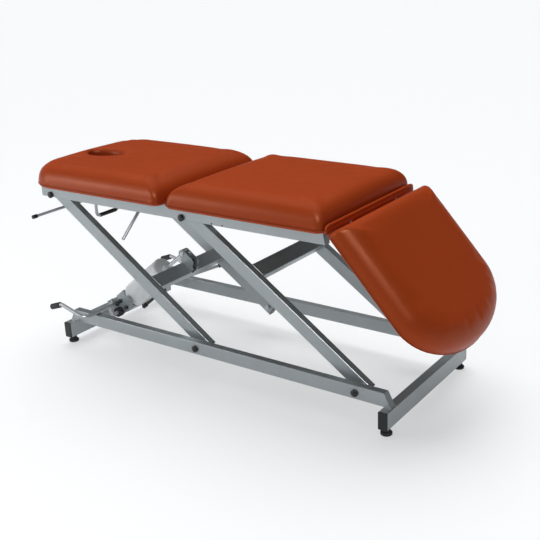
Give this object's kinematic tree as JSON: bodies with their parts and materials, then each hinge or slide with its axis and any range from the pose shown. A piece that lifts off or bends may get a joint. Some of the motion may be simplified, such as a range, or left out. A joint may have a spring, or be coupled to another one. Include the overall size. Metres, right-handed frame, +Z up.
{
  "type": "hydraulic treatment table",
  "caption": "Three-section padded treatment table on a parallelogram lift with a foot pump, backrest with face hole, hanging leg section and levelling feet",
  "frame": {"origin": "centre of the bounding box in plan, at floor level", "axes": "+X along the table from the head end to the foot end, +Z up, +Y to the far side of the picture view"},
  "size_m": [1.819, 0.7, 0.746],
  "materials": {
    "frame_paint": "satin silver-grey powder coat",
    "black_plastic": "fine matt moulded plastic",
    "black_rubber": "matt moulded rubber",
    "zinc_steel": "zinc plated",
    "black_metal": "satin black coat",
    "silver_bar": "satin silver coat on bent bar",
    "polished_rod": "hard chrome plated",
    "pale_reservoir": "pale grey gloss coat",
    "upholstery": "terracotta leatherette with fine grain, satin gloss",
    "plywood": "sanded plywood"
  },
  "bodies": {
    "base": {"base_rail_near": "frame_paint", "base_rail_far": "frame_paint", "base_cross_head": "frame_paint", "base_cross_foot": "frame_paint", "base_end_caps": "black_plastic", "base_pivot_bolts": "zinc_steel", "base_pivot_caps": "black_plastic", "base_spacers": "zinc_steel", "pump_bracket": "frame_paint", "pump_pin": "zinc_steel"},
    "foot_1": {"foot_head_near": "black_rubber"},
    "foot_2": {"foot_head_far": "black_rubber"},
    "foot_3": {"foot_foot_near": "black_rubber"},
    "foot_4": {"foot_foot_far": "black_rubber"},
    "head_arms": {"head_arm_near": "frame_paint", "head_arm_far": "frame_paint", "head_arm_cross": "frame_paint", "head_arm_plugs": "black_plastic", "ram_ears": "frame_paint", "ram_pin": "zinc_steel"},
    "foot_arms": {"foot_arm_near": "frame_paint", "foot_arm_far": "frame_paint", "foot_arm_cross": "frame_paint", "foot_arm_plugs": "black_plastic"},
    "top_frame": {"top_rail_near": "frame_paint", "top_rail_far": "frame_paint", "top_cross_head": "frame_paint", "top_cross_back": "frame_paint", "top_cross_mid": "frame_paint", "top_cross_foot": "frame_paint", "top_pivot_bolts": "zinc_steel", "top_pivot_caps": "black_plastic", "rail_screws": "black_metal", "roll_rod": "silver_bar", "roll_tip": "black_plastic", "seat_board": "plywood", "seat_cushion": "upholstery", "leg_hinge_strip": "upholstery", "hinge_plates": "zinc_steel", "back_spring_tube": "black_metal", "leg_spring_tube": "black_metal"},
    "backrest": {"back_frame": "frame_paint", "back_board": "plywood", "back_cushion": "upholstery", "grab_bar": "silver_bar", "grab_grip": "black_rubber"},
    "leg_section": {"leg_frame": "frame_paint", "leg_board": "plywood", "leg_cushion": "upholstery"},
    "back_rod": {"back_spring_rod": "polished_rod"},
    "leg_rod": {"leg_spring_rod": "polished_rod"},
    "release": {"release_lever": "silver_bar"},
    "pump": {"pump_block": "frame_paint", "reservoir": "pale_reservoir", "return_pipe": "black_metal"},
    "ram": {"pump_ram": "polished_rod"},
    "pedal": {"pedal_bar": "silver_bar", "pedal_grips": "black_rubber"},
    "lowering": {"lowering_lever": "silver_bar", "lever_tip": "black_plastic"}
  },
  "joints": [
    {"name": "foot_1_screw", "type": "slide", "parent": "base", "child": "foot_1", "axis": [0, 0, -1], "range_m": [0, 0.012]},
    {"name": "foot_2_screw", "type": "slide", "parent": "base", "child": "foot_2", "axis": [0, 0, -1], "range_m": [0, 0.012]},
    {"name": "foot_3_screw", "type": "slide", "parent": "base", "child": "foot_3", "axis": [0, 0, -1], "range_m": [0, 0.012]},
    {"name": "foot_4_screw", "type": "slide", "parent": "base", "child": "foot_4", "axis": [0, 0, -1], "range_m": [0, 0.012]},
    {"name": "lift", "type": "hinge", "parent": "base", "child": "head_arms", "pos_m": [-0.11003, 0, 0.113], "axis": [0, 1, 0], "range_deg": [-11.4, 13.1]},
    {"name": "foot_arm_swing", "type": "hinge", "parent": "base", "child": "foot_arms", "pos_m": [0.57497, 0, 0.113], "axis": [0, 1, 0], "range_deg": [-11.5, 13.2]},
    {"name": "top_level", "type": "hinge", "parent": "head_arms", "child": "top_frame", "pos_m": [-0.82983, 0, 0.61402], "axis": [0, 1, 0], "range_deg": [-13.2, 11.5]},
    {"name": "backrest_raise", "type": "hinge", "parent": "top_frame", "child": "backrest", "pos_m": [-0.19803, 0, 0.67202], "axis": [0, 1, 0], "range_deg": [0, 70]},
    {"name": "leg_raise", "type": "hinge", "parent": "top_frame", "child": "leg_section", "pos_m": [0.48947, 0, 0.66002], "axis": [0, -1, 0], "range_deg": [0, 48]},
    {"name": "back_rod_slide", "type": "slide", "parent": "top_frame", "child": "back_rod", "axis": [-1, 0, 0], "range_m": [-0.0005, 0.06352]},
    {"name": "leg_rod_slide", "type": "slide", "parent": "top_frame", "child": "leg_rod", "axis": [1, 0, 0], "range_m": [-0.0005, 0.03701]},
    {"name": "release_pull", "type": "hinge", "parent": "top_frame", "child": "release", "pos_m": [-0.41413, -0.11, 0.62002], "axis": [-1, 0, 0], "range_deg": [0, 12], "stiffness_Nm_per_rad": 12, "springref_deg": -11.46},
    {"name": "pump_tilt", "type": "hinge", "parent": "base", "child": "pump", "pos_m": [-0.72803, 0, 0.08], "axis": [0, -1, 0], "range_deg": [-0.76, 0.85]},
    {"name": "ram_slide", "type": "slide", "parent": "pump", "child": "ram", "axis": [0.7794, 0, 0.6265], "range_m": [-0.0715, 0.082]},
    {"name": "pedal_press", "type": "hinge", "parent": "pump", "child": "pedal", "pos_m": [-0.70083, 0, 0.06851], "axis": [0, -1, 0], "range_deg": [0, 20], "stiffness_Nm_per_rad": 25, "springref_deg": -17.19},
    {"name": "lowering_press", "type": "hinge", "parent": "pump", "child": "lowering", "pos_m": [-0.67971, 0, 0.11884], "axis": [0, 1, 0], "range_deg": [0, 5], "stiffness_Nm_per_rad": 20, "springref_deg": -11.46}
  ],
  "couplings": [
    {"joint": "foot_arm_swing", "follows": "lift", "ratio": 1},
    {"joint": "top_level", "follows": "lift", "ratio": -1},
    {"joint": "pump_tilt", "follows": "lift", "ratio": 0.0575},
    {"joint": "ram_slide", "follows": "lift", "m_per_rad": 0.35409},
    {"joint": "back_rod_slide", "follows": "backrest_raise", "m_per_rad": 0.051581},
    {"joint": "leg_rod_slide", "follows": "leg_raise", "m_per_rad": 0.043579}
  ]
}
